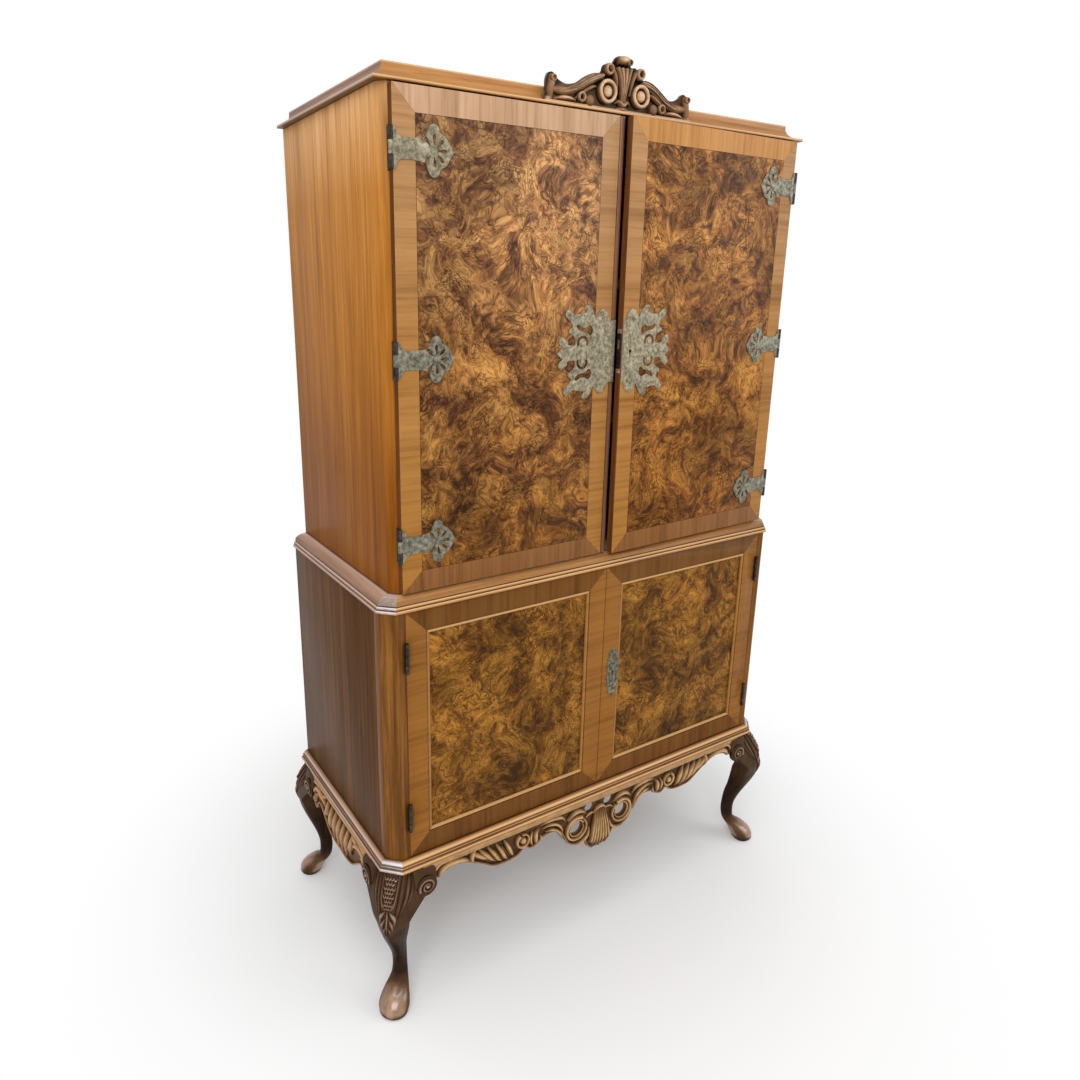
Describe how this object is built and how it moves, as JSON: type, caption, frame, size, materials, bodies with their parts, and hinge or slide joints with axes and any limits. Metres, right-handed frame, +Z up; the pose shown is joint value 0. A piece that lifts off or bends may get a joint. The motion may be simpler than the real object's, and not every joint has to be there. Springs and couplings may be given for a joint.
{
  "type": "drinks cabinet",
  "caption": "Tall burr walnut drinks cabinet on carved cabriole legs, with double doors above and below, brass strap hinges, fretted lock plates and a carved crest.",
  "frame": {"origin": "on the floor under the middle of the cabinet", "axes": "+X to the right along the front, +Y from front to back, +Z up"},
  "size_m": [1.0114, 0.4964, 1.6878],
  "materials": {
    "burr_walnut": "burr walnut veneer in crossbanding, polished",
    "banded_walnut": "golden walnut crossbanding and mouldings, polished",
    "side_walnut": "straight-grained walnut, polished",
    "carved_walnut": "carved walnut, worn polish",
    "dark_leg_walnut": "dark stained walnut, polished",
    "inner_wood": "plain inner boards",
    "aged_brass": "aged brass",
    "lock_iron": "blackened iron"
  },
  "bodies": {
    "cabinet": {"leg_front_left": "dark_leg_walnut", "leg_front_right": "dark_leg_walnut", "leg_back_left": "dark_leg_walnut", "leg_back_right": "dark_leg_walnut", "apron_front": "carved_walnut", "apron_left": "carved_walnut", "apron_right": "carved_walnut", "stand_back_rail": "side_walnut", "base_board": "banded_walnut", "lower_side_left": "side_walnut", "lower_side_right": "side_walnut", "lower_post_left": "banded_walnut", "lower_post_right": "banded_walnut", "lower_back": "inner_wood", "lower_shelf": "inner_wood", "waist_board": "banded_walnut", "upper_side_left": "side_walnut", "upper_side_right": "side_walnut", "upper_floor": "inner_wood", "upper_back": "inner_wood", "upper_shelf_1": "inner_wood", "upper_shelf_2": "inner_wood", "cornice": "banded_walnut", "crest": "carved_walnut", "strap_leaf_left_1": "aged_brass", "strap_leaf_left_2": "aged_brass", "strap_leaf_left_3": "aged_brass", "strap_leaf_right_1": "aged_brass", "strap_leaf_right_2": "aged_brass", "strap_leaf_right_3": "aged_brass", "butt_leaf_left_1": "aged_brass", "butt_leaf_left_2": "aged_brass", "butt_leaf_right_1": "aged_brass", "butt_leaf_right_2": "aged_brass"},
    "upper_left_door": {"upper_door_left": "burr_walnut", "meeting_bead": "banded_walnut", "lock_plate_left": "aged_brass", "strap_hinge_left_1": "aged_brass", "strap_hinge_left_2": "aged_brass", "strap_hinge_left_3": "aged_brass"},
    "upper_left_bolt": {"upper_left_bolt": "aged_brass"},
    "upper_right_door": {"upper_door_right": "burr_walnut", "lock_plate_right": "aged_brass", "upper_lock_case": "lock_iron", "strap_hinge_right_1": "aged_brass", "strap_hinge_right_2": "aged_brass", "strap_hinge_right_3": "aged_brass"},
    "upper_lock_bolt": {"upper_lock_bolt": "aged_brass"},
    "lower_left_door": {"lower_door_left": "banded_walnut", "lower_panel_left": "burr_walnut", "butt_hinge_left_1": "aged_brass", "butt_hinge_left_2": "aged_brass"},
    "lower_left_bolt": {"lower_left_bolt": "aged_brass"},
    "lower_right_door": {"lower_door_right": "banded_walnut", "lower_panel_right": "burr_walnut", "butt_hinge_right_1": "aged_brass", "butt_hinge_right_2": "aged_brass", "escutcheon": "aged_brass", "lower_lock_case": "lock_iron"},
    "lower_lock_bolt": {"lower_lock_bolt": "aged_brass"}
  },
  "joints": [
    {"name": "upper_left_hinge", "type": "hinge", "parent": "cabinet", "child": "upper_left_door", "pos_m": [-0.4398, -0.2135, 1.21], "axis": [0, 0, -1], "range_deg": [0, 168]},
    {"name": "upper_right_hinge", "type": "hinge", "parent": "cabinet", "child": "upper_right_door", "pos_m": [0.4398, -0.2135, 1.21], "axis": [0, 0, 1], "range_deg": [-1.7, 166]},
    {"name": "lower_left_hinge", "type": "hinge", "parent": "cabinet", "child": "lower_left_door", "pos_m": [-0.4345, -0.22, 0.558], "axis": [0, 0, -1], "range_deg": [0, 165]},
    {"name": "lower_right_hinge", "type": "hinge", "parent": "cabinet", "child": "lower_right_door", "pos_m": [0.4345, -0.22, 0.558], "axis": [0, 0, 1], "range_deg": [0, 165]},
    {"name": "upper_left_bolt_slide", "type": "slide", "parent": "upper_left_door", "child": "upper_left_bolt", "axis": [0, 0, 1], "range_m": [0, 0.0065]},
    {"name": "lower_left_bolt_slide", "type": "slide", "parent": "lower_left_door", "child": "lower_left_bolt", "axis": [0, 0, 1], "range_m": [0, 0.0065]},
    {"name": "upper_lock_bolt_slide", "type": "slide", "parent": "upper_right_door", "child": "upper_lock_bolt", "axis": [-0.9996, -0.0297, 0], "range_m": [0, 0.0065]},
    {"name": "lower_lock_bolt_slide", "type": "slide", "parent": "lower_right_door", "child": "lower_lock_bolt", "axis": [-1, 0, 0], "range_m": [0, 0.0065]}
  ]
}
